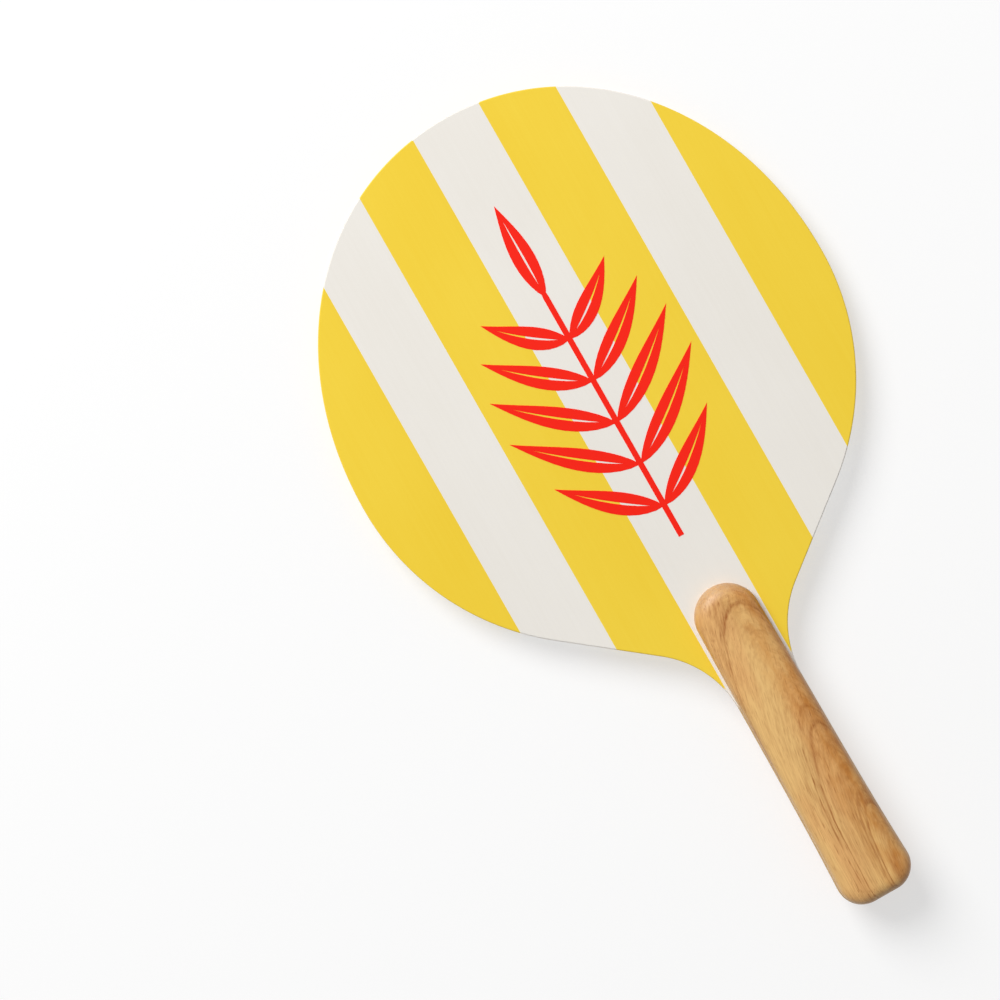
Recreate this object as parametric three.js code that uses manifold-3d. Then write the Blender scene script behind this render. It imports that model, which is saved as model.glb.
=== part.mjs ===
import * as THREE from "three";
import { mergeVertices } from "three/addons/utils/BufferGeometryUtils.js";
import Module from "manifold-3d";

// A frescobol racket: a plywood blade with painted stripes, and a wooden scale glued to each side
// of its tang as the handle. All sizes are in millimetres.
// The racket lies flat. +Z leaves its front face, +Y runs along the handle to the tip of the head,
// and it is symmetric about X = 0. Heights along Y are counted from the butt end of the tang.

const wasm = await Module();
wasm.setup();

// Blade outline: an oval head, straight flanks and hollow throats that run into the tang
const overallLength = 390;
const headHalfWidth = 115;
const widestLineToTip = 131.4;
const tipFullness = 2.05; // exponent of the upper half's curve, where 2 is an ellipse
const flankDegrees = 38.2; // slope of the straight flank against the X axis
const throatRadius = 47;

// Plywood: five plies, and the small round along both edges of the blade
const coreThickness = 1.2;
const crossbandThickness = 1.2;
const faceVeneerThickness = 1.2;
const arrisRadius = 0.4;

// Paint: stripes side by side on each face, and one leaf print over them
const paintThickness = 0.12;
const inkThickness = 0.1;
const stripesBesideMiddle = 3; // on each side of the middle stripe, all equally wide

// Leaf print: a stem with pairs of leaves and one leaf at its end, each with a bare midrib
const printAboveScale = 26;
const printBelowTip = 44;
const stemHalfWidth = 1.3;
const stemFootLength = 15;
const leafLength = 58;
const leafHalfWidth = 5;
const leafBend = 5;
const leafDegrees = 52; // lean of a leaf away from the stem
const endLeafLength = 46;
const leafLengthShares = [0.84, 1, 0.97, 0.86, 0.68];
const leafBellyShare = 0.8; // below 1 the leaf is widest nearer to its root
const midribHalfWidth = 0.45;
const midribEndShares = [0.14, 0.84];

// Handle scales
const scaleTopToTip = 235.5; // from the round top of a scale to the tip of the head
const scaleThickness = 9;
const scaleWallHeight = 1.5;
const scaleDomeRadius = 14.7;
const scaleLandShare = 0.34; // width of the flat land along the crown against the whole width
const crownFullness = 2.4; // exponent of the rounding's curve, where 2 is an ellipse
const buttHalfWidth = 17.3;
const buttCornerRadius = 11.5;
const buttFlareDegrees = 2.5;
const shoulderTaperDegrees = 1.4;

// How finely the round stretches are drawn
const cornerSteps = 8;
const sideSteps = 10;
const domeSteps = 12;
const throatSteps = 12;
const headSteps = 20;
const tipSteps = 40;
const arrisSteps = 3;
const crownSteps = 8;
const leafSteps = 12;
const midribSteps = 6;

const cutOverrun = 5;
const settlingPasses = 4;

const flankAngle = THREE.MathUtils.degToRad(flankDegrees);
const leafAngle = THREE.MathUtils.degToRad(leafDegrees);
const buttFlare = THREE.MathUtils.degToRad(buttFlareDegrees);
const shoulderTaper = THREE.MathUtils.degToRad(shoulderTaperDegrees);

// Distances out from the middle of the core ply, alike on both sides
const coreFace = coreThickness / 2;
const crossbandFace = coreFace + crossbandThickness;
const veneerFace = crossbandFace + faceVeneerThickness;
const paintFace = veneerFace + paintThickness;
const inkFace = paintFace + inkThickness;
const scaleFace = paintFace + scaleThickness;
const sides = [
  { name: "front", outward: 1 },
  { name: "back", outward: -1 },
];

// The lowest face of the back scale is at Z = 0
function heightOf(side, distance) {
  return scaleFace + side.outward * distance;
}

// Points of a circle's arc, from one angle to the other
function arc(centre, radius, from, to, steps) {
  const clockwise = to < from;
  return new THREE.EllipseCurve(centre.x, centre.y, radius, radius, from, to, clockwise).getPoints(steps);
}

// The right half of an outline, whose last point is on the axis, and its mirror image back down
function closeAcrossAxis(rightHalf) {
  const rightSide = rightHalf.slice(0, -1);
  const leftSide = rightSide.map(({ x, y }) => new THREE.Vector2(-x, y)).reverse();
  return [...rightSide, new THREE.Vector2(0, rightHalf.at(-1).y), ...leftSide];
}

// An outline moved inwards, each point along the bisector of its corner
function inset(outline, distance) {
  return outline.map((point, index) => {
    const arriving = point.clone().sub(outline.at(index - 1)).normalize();
    const leaving = outline[(index + 1) % outline.length].clone().sub(point).normalize();
    const bisector = new THREE.Vector2(-arriving.y - leaving.y, arriving.x + leaving.x).normalize();
    const closeness = bisector.x * -arriving.y + bisector.y * arriving.x;
    return point.clone().addScaledVector(bisector, distance / closeness);
  });
}

// Lines across the racket, as heights above the butt
const widestLine = overallLength - widestLineToTip;
const scaleTopHeight = overallLength - scaleTopToTip;

// Handle outline, drawn at the edge of the tang: butt corner, flared side and round top.
// The side is a curve whose control points are evenly spaced in height.
const handleDomeRadius = scaleDomeRadius + arrisRadius;
const domeCentre = new THREE.Vector2(0, scaleTopHeight - scaleDomeRadius);
const buttCentre = new THREE.Vector2(0, buttCornerRadius);
const cornerCentre = new THREE.Vector2(buttHalfWidth - buttCornerRadius, buttCornerRadius);
const cornerArc = arc(cornerCentre, buttCornerRadius, -Math.PI / 2, buttFlare, cornerSteps);
const domeArc = arc(domeCentre, handleDomeRadius, shoulderTaper, Math.PI / 2, domeSteps);
const sideFoot = cornerArc.at(-1);
const sideHead = domeArc[0];
const sideThird = (sideHead.y - sideFoot.y) / 3;
const handleSide = new THREE.CubicBezierCurve(
  sideFoot,
  new THREE.Vector2(sideFoot.x - sideThird * Math.tan(buttFlare), sideFoot.y + sideThird),
  new THREE.Vector2(sideHead.x + sideThird * Math.tan(shoulderTaper), sideHead.y - sideThird),
  sideHead,
);

function sidePoints(topShare) {
  const shares = Array.from({ length: sideSteps }, (_, step) => (topShare * (step + 1)) / sideSteps);
  return shares.map((share) => handleSide.getPoint(share));
}

// Middle of the throat's hollow. Its height and the tang's width there depend on each other a
// little, so they are settled in a few passes.
const flankNormal = flankAngle - Math.PI / 2;
let throatShare = 1;
let throatCentre;
for (let pass = 0; pass < settlingPasses; pass += 1) {
  const across = handleSide.getPoint(throatShare).x + throatRadius;
  const tangency = headHalfWidth + throatRadius - across * Math.cos(flankNormal);
  throatCentre = new THREE.Vector2(across, widestLine + tangency / Math.sin(flankNormal));
  throatShare = Math.min(1, (throatCentre.y - sideFoot.y) / (sideHead.y - sideFoot.y));
}
const throatHeight = throatCentre.y;

function tipCurve() {
  const angles = Array.from({ length: tipSteps }, (_, step) => (Math.PI * (step + 1)) / (2 * tipSteps));
  return angles.map((angle) => {
    const across = headHalfWidth * Math.cos(angle) ** (2 / tipFullness);
    const along = widestLineToTip * Math.sin(angle) ** (2 / tipFullness);
    return new THREE.Vector2(across, widestLine + along);
  });
}

const headCentre = new THREE.Vector2(0, widestLine);
const bladeOutline = closeAcrossAxis([
  ...cornerArc,
  ...sidePoints(throatShare).slice(0, -1),
  ...arc(throatCentre, throatRadius, Math.PI, Math.PI / 2 + flankAngle, throatSteps),
  ...arc(headCentre, headHalfWidth, flankNormal, 0, headSteps),
  ...tipCurve(),
]);
const handleOutline = closeAcrossAxis([...cornerArc, ...sidePoints(1), ...domeArc.slice(1)]);

// A closed solid through outlines of equal point count, each at its own height
function stackedSolid(layers) {
  const rising = layers.at(-1).height > layers[0].height ? layers : [...layers].reverse();
  const count = rising[0].outline.length;
  const positions = rising.flatMap(({ outline, height }) => outline.flatMap(({ x, y }) => [x, y, height]));
  const faces = [];
  for (let below = 0; below < (rising.length - 1) * count; below += count) {
    for (let here = 0; here < count; here += 1) {
      const next = (here + 1) % count;
      faces.push(below + here, below + next, below + count + next);
      faces.push(below + here, below + count + next, below + count + here);
    }
  }
  const top = (rising.length - 1) * count;
  for (const [a, b, c] of THREE.ShapeUtils.triangulateShape(rising[0].outline, [])) {
    faces.push(c, b, a);
  }
  for (const [a, b, c] of THREE.ShapeUtils.triangulateShape(rising.at(-1).outline, [])) {
    faces.push(top + a, top + b, top + c);
  }
  const geometry = new THREE.BufferGeometry();
  geometry.setAttribute("position", new THREE.Float32BufferAttribute(positions, 3));
  geometry.setIndex(faces);
  geometry.computeVertexNormals();
  return geometry;
}

function plate(outline, side, from, to) {
  return stackedSolid([
    { outline, height: heightOf(side, from) },
    { outline, height: heightOf(side, to) },
  ]);
}

// Solids for cutting and joining
function toSolid(geometry) {
  const bare = geometry.clone();
  bare.deleteAttribute("normal");
  const merged = mergeVertices(bare);
  return new wasm.Manifold(
    new wasm.Mesh({
      numProp: 3,
      vertProperties: Float32Array.from(merged.attributes.position.array),
      triVerts: Uint32Array.from(merged.index.array),
    }),
  );
}

function toGeometry(solid) {
  const mesh = solid.getMesh();
  const geometry = new THREE.BufferGeometry();
  geometry.setAttribute("position", new THREE.Float32BufferAttribute(mesh.vertProperties, 3));
  geometry.setIndex(Array.from(mesh.triVerts));
  geometry.computeVertexNormals();
  return geometry;
}

const racket = new THREE.Group();

function addPiece(name, geometry, finish) {
  const piece = new THREE.Mesh(geometry, finish.clone());
  piece.name = name;
  racket.add(piece);
}

function finishOf(colour, roughness) {
  return new THREE.MeshStandardMaterial({ color: colour, roughness, metalness: 0 });
}

const veneerFinish = finishOf("#e3c794", 0.55);
const crossbandFinish = finishOf("#c9a06a", 0.65);
const whitePaint = finishOf("#ebe7e0", 0.45);
const yellowPaint = finishOf("#f2d146", 0.45);
const redInk = finishOf("#f92d1e", 0.45);
const handleFinish = finishOf("#d6aa6e", 0.4);

// Crossbands and face veneers. A veneer's outer edge is rounded, a quarter circle deep.
function addPlies(side) {
  const crossband = plate(bladeOutline, side, coreFace, crossbandFace);
  addPiece(`${side.name}_crossband`, crossband, crossbandFinish);
  const rounding = Array.from({ length: arrisSteps + 1 }, (_, step) => {
    const angle = (Math.PI * step) / (2 * arrisSteps);
    return {
      outline: inset(bladeOutline, arrisRadius * (1 - Math.cos(angle))),
      height: heightOf(side, veneerFace - arrisRadius * (1 - Math.sin(angle))),
    };
  });
  const edge = { outline: bladeOutline, height: heightOf(side, crossbandFace) };
  addPiece(`${side.name}_face_veneer`, stackedSolid([edge, ...rounding]), veneerFinish);
}

// One paint coat over the flat of the face, parted into stripes of equal width. The middle one
// runs on over the tang, and the others start above the throat, yellow and white in turn.
function addStripes(side) {
  const stripePitch = (2 * headHalfWidth) / (2 * stripesBesideMiddle + 1);
  const coat = toSolid(plate(inset(bladeOutline, arrisRadius), side, veneerFace, paintFace));
  const cutHeights = [veneerFace - cutOverrun, paintFace + cutOverrun];
  const stripBetween = (left, right) => {
    const top = overallLength + cutOverrun;
    const corners = [[left, throatHeight], [right, throatHeight], [right, top], [left, top]];
    const outline = corners.map(([x, y]) => new THREE.Vector2(x, y));
    return toSolid(plate(outline, side, ...cutHeights));
  };
  let middle = coat;
  for (let place = 1; place <= stripesBesideMiddle; place += 1) {
    const inner = (place - 1 / 2) * stripePitch;
    const outer = place < stripesBesideMiddle ? inner + stripePitch : headHalfWidth + cutOverrun;
    const paint = place % 2 ? yellowPaint : whitePaint;
    for (const [hand, strip] of [
      ["left", stripBetween(-outer, -inner)],
      ["right", stripBetween(inner, outer)],
    ]) {
      addPiece(`${side.name}_${hand}_stripe_${place}`, toGeometry(coat.intersect(strip)), paint);
      middle = middle.subtract(strip);
    }
  }
  addPiece(`${side.name}_middle_stripe`, toGeometry(middle), whitePaint);
}

// The curved midrib of a leaf, from its root on the stem to its tip. A lean above zero is to the
// right, and the bend bows the midrib down.
function midribOf(root, length, lean, bend) {
  const tip = new THREE.Vector2(root.x + length * Math.sin(lean), root.y + length * Math.cos(lean));
  const control = root.clone().lerp(tip, 1 / 2).add(new THREE.Vector2(0, -bend));
  return new THREE.QuadraticBezierCurve(root, control, tip);
}

// A pointed shape along a stretch of a curve, swelling to a half width on both sides of it
function pointedOutline(curve, [from, to], halfWidth, steps) {
  const shares = Array.from({ length: steps - 1 }, (_, step) => (step + 1) / steps);
  const edge = (hand) => (share) => {
    const place = from + (to - from) * share;
    const along = curve.getTangent(place);
    const swell = hand * halfWidth * Math.sin(Math.PI * share ** leafBellyShare);
    return curve.getPoint(place).add(new THREE.Vector2(along.y, -along.x).multiplyScalar(swell));
  };
  const [root, tip] = [curve.getPoint(from), curve.getPoint(to)];
  return [root, ...shares.map(edge(1)), tip, ...shares.map(edge(-1)).reverse()];
}

function addLeafPrint(side) {
  const foot = scaleTopHeight + printAboveScale;
  const endRoot = new THREE.Vector2(0, overallLength - printBelowTip - endLeafLength);
  const pairPitch = (endRoot.y - foot - stemFootLength) / leafLengthShares.length;
  const stem = [
    [stemHalfWidth, foot],
    [stemHalfWidth, endRoot.y],
    [0, endRoot.y + stemFootLength],
    [-stemHalfWidth, endRoot.y],
    [-stemHalfWidth, foot],
  ];
  const midribs = leafLengthShares.flatMap((share, place) => {
    const root = new THREE.Vector2(0, foot + stemFootLength + place * pairPitch);
    return [leafAngle, -leafAngle].map((lean) => midribOf(root, share * leafLength, lean, leafBend));
  });
  midribs.push(midribOf(endRoot, endLeafLength, 0, 0));
  const leaves = midribs.map((midrib) => pointedOutline(midrib, [0, 1], leafHalfWidth, leafSteps));
  const stemOutline = stem.map(([x, y]) => new THREE.Vector2(x, y));
  let print = toSolid(plate(stemOutline, side, paintFace, inkFace));
  for (const leaf of leaves) {
    print = print.add(toSolid(plate(leaf, side, paintFace, inkFace)));
  }
  for (const midrib of midribs) {
    const bare = pointedOutline(midrib, midribEndShares, midribHalfWidth, midribSteps);
    print = print.subtract(toSolid(plate(bare, side, paintFace - cutOverrun, inkFace + cutOverrun)));
  }
  addPiece(`${side.name}_leaf_print`, toGeometry(print), redInk);
}

// A handle scale, seated on the paint inside the rounded edges of the tang. From a low upright
// wall it rounds over to a flat land along its crown, drawn in towards the handle's middle line.
function addScale(side) {
  const seat = inset(handleOutline, arrisRadius);
  const drawnIn = (share) =>
    seat.map((point) => {
      const middle = new THREE.Vector2(0, THREE.MathUtils.clamp(point.y, buttCentre.y, domeCentre.y));
      return point.clone().lerp(middle, share);
    });
  const crownRise = scaleThickness - scaleWallHeight;
  const rounding = Array.from({ length: crownSteps + 1 }, (_, step) => {
    const angle = (Math.PI * step) / (2 * crownSteps);
    const remaining = step < crownSteps ? Math.cos(angle) ** (2 / crownFullness) : 0;
    const rise = crownRise * Math.sin(angle) ** (2 / crownFullness);
    return {
      outline: drawnIn((1 - scaleLandShare) * (1 - remaining)),
      height: heightOf(side, paintFace + scaleWallHeight + rise),
    };
  });
  const foot = { outline: seat, height: heightOf(side, paintFace) };
  addPiece(`${side.name}_handle_scale`, stackedSolid([foot, ...rounding]), handleFinish);
}

addPiece("blade_core", plate(bladeOutline, sides[0], -coreFace, coreFace), veneerFinish);
for (const side of sides) {
  addPlies(side);
  addStripes(side);
  addLeafPrint(side);
  addScale(side);
}

// The origin is under the middle of the racket
racket.position.y = -overallLength / 2;

export default racket;
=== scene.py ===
"""Looks of a frescobol racket: plywood blade, painted stripes, leaf print and two handle scales.

The racket lies in its own frame, in metres. +Y runs from the butt to the tip of the head, +Z leaves
the front face, and the middle of the racket is over the origin.
"""

import logging
import math
from collections.abc import Iterable, Sequence
from dataclasses import dataclass, field
from enum import Enum

import bmesh
import bpy
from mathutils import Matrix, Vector


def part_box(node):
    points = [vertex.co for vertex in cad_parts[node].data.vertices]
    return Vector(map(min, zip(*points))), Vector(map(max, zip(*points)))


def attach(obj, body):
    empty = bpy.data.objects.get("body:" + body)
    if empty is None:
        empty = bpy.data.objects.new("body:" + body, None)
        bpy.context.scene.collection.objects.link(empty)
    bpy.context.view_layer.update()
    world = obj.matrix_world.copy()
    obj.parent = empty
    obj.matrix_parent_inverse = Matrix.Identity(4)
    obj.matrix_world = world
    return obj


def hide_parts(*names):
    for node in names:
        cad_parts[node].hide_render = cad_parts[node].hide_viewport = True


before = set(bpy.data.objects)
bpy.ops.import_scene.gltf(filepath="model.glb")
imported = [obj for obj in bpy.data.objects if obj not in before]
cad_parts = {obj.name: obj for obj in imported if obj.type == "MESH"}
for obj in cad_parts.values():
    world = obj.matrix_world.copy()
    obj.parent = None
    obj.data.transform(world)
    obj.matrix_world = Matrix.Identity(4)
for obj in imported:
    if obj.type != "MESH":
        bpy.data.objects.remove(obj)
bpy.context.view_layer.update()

MM = 0.001
QUARTER_TURN = math.pi / 2
NOISE_MIDDLE = 0.5

# Points nearer than this are one, and the mirror joins its halves within a wider reach.
SAME_PLACE = 1e-7
MERGE_REACH = 1e-6

# White and yellow take turns from stripe to stripe.
COATS_IN_TURN = 2

# The tone curve of a screen, straight near black and a power above.
FULL_LEVEL = 255
TOE_END = 0.04045
TOE_SLOPE = 12.92
CURVE_OFFSET = 0.055
CURVE_POWER = 2.4

log = logging.getLogger("racket")

Colour = tuple[float, float, float]
Piece = bpy.types.Object
Socket = bpy.types.NodeSocket
Value = float | Sequence[float] | Socket
Stops = Sequence[tuple[float, float]]


class Side(Enum):
    """The two faces of the racket, each with the way it faces along Z."""

    FRONT = 1
    BACK = -1

    @property
    def word(self) -> str:
        """The side's name as the nodes have it."""
        return self.name.lower()


class Grain(Enum):
    """The way the fibres of a piece of wood run."""

    LONG = "along the handle"
    CROSS = "across the blade"


def linear(*levels: int) -> Colour:
    """Turns a colour as a screen shows it into linear light.

    Args:
        *levels: Red, green and blue, from 0 to 255.

    Returns:
        The three in linear light, from 0 to 1.
    """
    shares = [level / FULL_LEVEL for level in levels]
    curved = [((share + CURVE_OFFSET) / (1 + CURVE_OFFSET)) ** CURVE_POWER for share in shares]
    return tuple(
        share / TOE_SLOPE if share <= TOE_END else curve for share, curve in zip(shares, curved)
    )


@dataclass(frozen=True)
class Patches:
    """The patches of a noise: rough size, number of finer layers, a seed, and their strength."""

    width: float
    length: float
    detail: float = 3.0
    seed: float = 0.0
    layer_strength: float = 0.6


class Nodes:
    """A node tree, and the ways to add to it."""

    def __init__(self, tree: bpy.types.NodeTree) -> None:
        """Takes up a tree."""
        self.tree = tree

    def node(
        self, kind: str, inputs: dict[str | int, Value] | None = None, **settings: object
    ) -> bpy.types.Node:
        """Adds a node, with its settings and its inputs linked or set.

        Args:
            kind: The node's type, without the ShaderNode that it starts with.
            inputs: Values or sockets by input name or number.
            **settings: Attributes of the node.

        Returns:
            The new node.
        """
        made = self.tree.nodes.new(f"ShaderNode{kind}")
        for name, setting in settings.items():
            setattr(made, name, setting)
        for name, value in (inputs or {}).items():
            self.feed(made.inputs[name], value)
        return made

    def feed(self, socket: Socket, value: Value) -> None:
        """Links a socket to an output, or sets its value.

        Args:
            socket: The input to feed.
            value: An output socket, a number or a vector.
        """
        if isinstance(value, Socket):
            self.tree.links.new(value, socket)
        else:
            socket.default_value = value

    def maths(self, operation: str, *values: Value) -> Socket:
        """The result of a Math node, whose inputs are given in order."""
        return self.node("Math", dict(enumerate(values)), operation=operation).outputs[0]

    def times(self, first: Value, second: Value) -> Socket:
        """One value times another."""
        return self.maths("MULTIPLY", first, second)

    def seen(self) -> Socket:
        """Tells rays that show a surface to the camera from rays that only light others.

        Returns:
            1 for the camera's rays, reflected or let through ones too, and 0 for the rest.
        """
        rays = self.node("LightPath").outputs
        either = self.maths("MAXIMUM", rays["Is Camera Ray"], rays["Is Glossy Ray"])
        return self.maths("MAXIMUM", either, rays["Is Transmission Ray"])


class Graph(Nodes):
    """A material's node graph. Each method adds nodes and returns the new output socket."""

    def __init__(self, name: str, seed: float = 0.0, grain: Grain = Grain.LONG) -> None:
        """Starts a material with a Principled shader.

        Args:
            name: The material's name.
            seed: Added to the seeds of its noises.
            grain: The way their patches lie.
        """
        self.material = bpy.data.materials.new(name)
        self.material.use_nodes = True
        super().__init__(self.material.node_tree)
        self.seed = seed
        self.grain = grain
        self.shader = self.tree.nodes["Principled BSDF"]
        self.output = self.tree.nodes["Material Output"]
        self.place = self.node("TexCoord").outputs["Object"]

    def parts(self, vector: Value) -> Sequence[Socket]:
        """The three parts of a vector."""
        return self.node("SeparateXYZ", {0: vector}).outputs

    def facing(self, axis: int) -> Socket:
        """How much the surface faces along an axis, from -1 to 1."""
        return self.parts(self.node("NewGeometry").outputs["Normal"])[axis]

    def apart(self, first: Value, second: Value) -> Socket:
        """How far apart two values are."""
        return self.maths("ABSOLUTE", self.maths("SUBTRACT", first, second))

    def noise(self, patches: Patches) -> Socket:
        """Noise in patches drawn out along the fibres.

        Args:
            patches: The patches' size, layers and seed.

        Returns:
            A value from 0 to 1, mostly near one half.
        """
        thin, drawn_out = 1 / patches.width, 1 / patches.length
        stretch = (drawn_out, thin, thin) if self.grain is Grain.CROSS else (thin, drawn_out, thin)
        place = self.node("Mapping", {"Vector": self.place, "Scale": stretch}).outputs[0]
        return self.cloud(place, patches)

    def cloud(self, place: Value, patches: Patches) -> Socket:
        """Noise whose patches are about one long and wide.

        Args:
            place: Where the noise is looked up.
            patches: Its layers and seed.

        Returns:
            A value from 0 to 1, mostly near one half.
        """
        inputs = {"Vector": place, "W": self.seed + patches.seed, "Scale": 1.0}
        inputs |= {"Detail": patches.detail, "Roughness": patches.layer_strength}
        return self.node("TexNoise", inputs, noise_dimensions="4D").outputs[0]

    def centred(self, noise: Value) -> Socket:
        """Moves a noise so that its middle level is 0."""
        return self.maths("SUBTRACT", noise, NOISE_MIDDLE)

    def layered(self, base: Value, *layers: tuple[Value, float]) -> Socket:
        """Adds noises to a tone and keeps it from 0 to 1.

        Args:
            base: The tone to start from.
            *layers: Noises and their strengths, each added about its middle level.

        Returns:
            The tone.
        """
        tone = base
        for layer, strength in layers:
            tone = self.maths("MULTIPLY_ADD", self.centred(layer), strength, tone)
        return self.node("Clamp", {0: tone}).outputs[0]

    def ramp(self, factor: Value, stops: Stops, soft: bool = False) -> Socket:
        """A curve through grey levels.

        Args:
            factor: The value to look up, from 0 to 1.
            stops: Pairs of position and level.
            soft: True to ease between the stops.

        Returns:
            The level at the factor.
        """
        made = self.node("ValToRGB", {0: factor})
        ramp = made.color_ramp
        ramp.interpolation = "EASE" if soft else "LINEAR"
        while len(ramp.elements) < len(stops):
            ramp.elements.new(1.0)
        for element, (position, level) in zip(ramp.elements, stops):
            element.position = position
            element.color = (level, level, level, 1)
        return made.outputs[0]

    def mix(self, factor: Value, first: Value, second: Value) -> Socket:
        """Mixes two colours.

        Args:
            factor: 0 for the first colour, 1 for the second.
            first: A colour or a colour socket.
            second: A colour or a colour socket.

        Returns:
            The mixed colour.
        """
        made = self.node("Mix", data_type="RGBA")
        self.feed(made.inputs["Factor"], factor)
        for name, colour in (("A", first), ("B", second)):
            socket = next(s for s in made.inputs if s.name == name and s.type == "RGBA")
            self.feed(socket, colour if isinstance(colour, Socket) else (*colour, 1))
        return next(s for s in made.outputs if s.type == "RGBA")

    def finish(
        self, colour: Value, roughness: Value, height: Value, depth: float, **constants: float
    ) -> bpy.types.Material:
        """Feeds the shader.

        Args:
            colour: The base colour.
            roughness: The roughness.
            height: Surface relief from 0 to 1.
            depth: What a relief of 1 is in metres.
            **constants: Other shader inputs, with underscores for the spaces in their names.

        Returns:
            The finished material.
        """
        self.feed(self.shader.inputs["Base Color"], colour)
        self.feed(self.shader.inputs["Roughness"], roughness)
        relief = {"Height": height, "Distance": depth, "Strength": 1.0}
        self.feed(self.shader.inputs["Normal"], self.node("Bump", relief).outputs[0])
        for name, value in constants.items():
            self.shader.inputs[name.replace("_", " ")].default_value = value
        return self.material


@dataclass(frozen=True)
class Lane:
    """Lanes that fibres, streaks or pores lie along."""

    graph: Graph
    place: Value
    along: Value
    beside: Value
    beside_widening: float = 1.0

    def noise(self, patches: Patches) -> Socket:
        """Noise in patches drawn out along the lanes.

        Args:
            patches: The patches' size, layers and seed.

        Returns:
            A value from 0 to 1, mostly near one half.
        """
        graph = self.graph
        axes = {
            0: graph.maths("DIVIDE", self.place, patches.width),
            1: graph.maths("DIVIDE", self.along, patches.length),
            2: graph.maths("DIVIDE", self.beside, patches.width * self.beside_widening),
        }
        return graph.cloud(graph.node("CombineXYZ", axes).outputs[0], patches)


@dataclass(frozen=True)
class HandleWood:
    """Varnished hardwood cut from beside the heart, so that its growth rings arch to the head.

    The rings are long shells round a heart line, each named by how far up the handle it
    reaches. The table of rings has that reach in millimetres and the ring's darkness. The
    other stops say how much of a tone shows at a level of a noise or at a turn of the surface.
    """

    name: str
    crown: float
    butt: float
    seed: float = 3.0

    # Where the heart line starts, and how it leans over towards the head.
    heart_across: float = 15.5 * MM
    heart_along: float = 0.0
    heart_lean: float = 10.8 * MM
    lean_reach: float = 145 * MM
    lean_growth: float = 1.7

    # The form of the shells round it, and how far they and the heart line waver.
    slimness: float = 0.27
    roundness: float = 1.93
    point: float = 6 * MM
    dip: float = 2.0
    wander: float = 3.0 * MM
    ripple: float = 2.6 * MM
    ring_gap: float = 2.9 * MM
    reach: float = 200 * MM

    # How fibres spread at the top of an arch, and how vessels slant and bow to one side.
    apex_widening: float = 4.0
    slant: float = 0.05
    bow: float = 0.9

    # The browner band along one side, partly heartwood and partly painted shade on the front scale's
    # shaded side.
    brown_across: float = 12.5 * MM
    brown_width: float = 14.5 * MM

    light: Colour = linear(232, 188, 119)
    dark: Colour = linear(152, 84, 18)
    rosy: Colour = linear(225, 168, 104)
    # Partly heartwood, partly painted shade on the shaded side.
    heartwood: Colour = linear(193, 123, 43)
    # The paler end grain at the head end is partly a painted sheen; the darker grain at the butt is
    # partly painted shade.
    end_grain: Colour = linear(194, 162, 128)
    butt_grain: Colour = linear(160, 122, 84)
    pore: Colour = linear(146, 80, 20)

    broad: Patches = Patches(14 * MM, 60 * MM, detail=2, seed=5)
    fibre: Patches = Patches(0.5 * MM, 20 * MM)
    streak: Patches = Patches(2.2 * MM, 70 * MM, detail=4)
    dash: Patches = Patches(0.44 * MM, 6 * MM, detail=1, seed=4)
    strand: Patches = Patches(0.8 * MM, 8 * MM, detail=2, seed=9)
    wandering: Patches = Patches(13 * MM, 66 * MM, detail=2, seed=1)
    rippling: Patches = Patches(2.6 * MM, 20 * MM, detail=1, seed=2)
    fading: Patches = Patches(7 * MM, 24 * MM, seed=7)
    brown_mottle: Patches = Patches(4 * MM, 11 * MM, seed=6)
    end_mottle: Patches = Patches(1.6 * MM, 1.6 * MM, seed=8)

    rosy_share: Stops = ((0.40, 0.0), (0.62, 0.65))
    fade_share: Stops = ((0.34, 0.45), (0.58, 1.0))
    strand_share: Stops = ((0.36, 0.5), (0.62, 1.0))
    brown_share: Stops = ((0.0, 0.95), (0.45, 0.6), (1.0, 0.0))
    brown_mottle_share: Stops = ((0.34, 0.25), (0.66, 1.0))
    # How much painted sheen and painted shade show, with the end grain, as the surface turns to the
    # head or to the butt.
    end_turn: Stops = ((0.15, 0.0), (0.75, 0.75))
    butt_turn: Stops = ((0.3, 0.0), (0.9, 0.7))
    end_mottle_share: Stops = ((0.32, 0.35), (0.62, 1.0))
    dash_share: Stops = ((0.58, 0.0), (0.70, 1.0))
    dash_thinning: Stops = ((0.35, 0.16), (0.65, 0.46))

    ring_strength: float = 1.1
    pore_crowding: float = 0.4
    line_strength: float = 0.07
    streak_strength: float = 0.8
    fibre_strength: float = 1.0
    fibre_relief: float = 0.35
    pore_relief: float = -0.9
    relief_depth: float = 0.05 * MM
    roughness: float = 0.40
    pore_roughness: float = 0.3
    specular: float = 0.35
    varnish: float = 0.12
    varnish_roughness: float = 0.35

    rings: Stops = (
        (0, 0.30), (14, 0.38), (20, 0.24), (32, 0.34), (38, 0.10), (43.8, 0.05), (44.7, 1.0),
        (46.6, 0.66), (48.2, 0.42), (50.6, 0.80), (52.2, 0.42), (60, 0.32), (70, 0.26), (76, 0.42),
        (77.5, 0.26), (81.6, 0.34), (83, 0.96), (85, 0.42), (90, 0.36), (91.4, 0.90), (93.2, 0.34),
        (100, 0.30), (103, 0.40), (105, 0.18), (130, 0.12), (142.6, 0.16), (143.6, 0.88),
        (145.2, 0.56), (148, 0.36), (150.6, 0.48), (152.4, 0.34), (200, 0.30),
    )

    def material(self) -> bpy.types.Material:
        """Builds the wood."""
        return HandleFigure(self).build()


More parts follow.
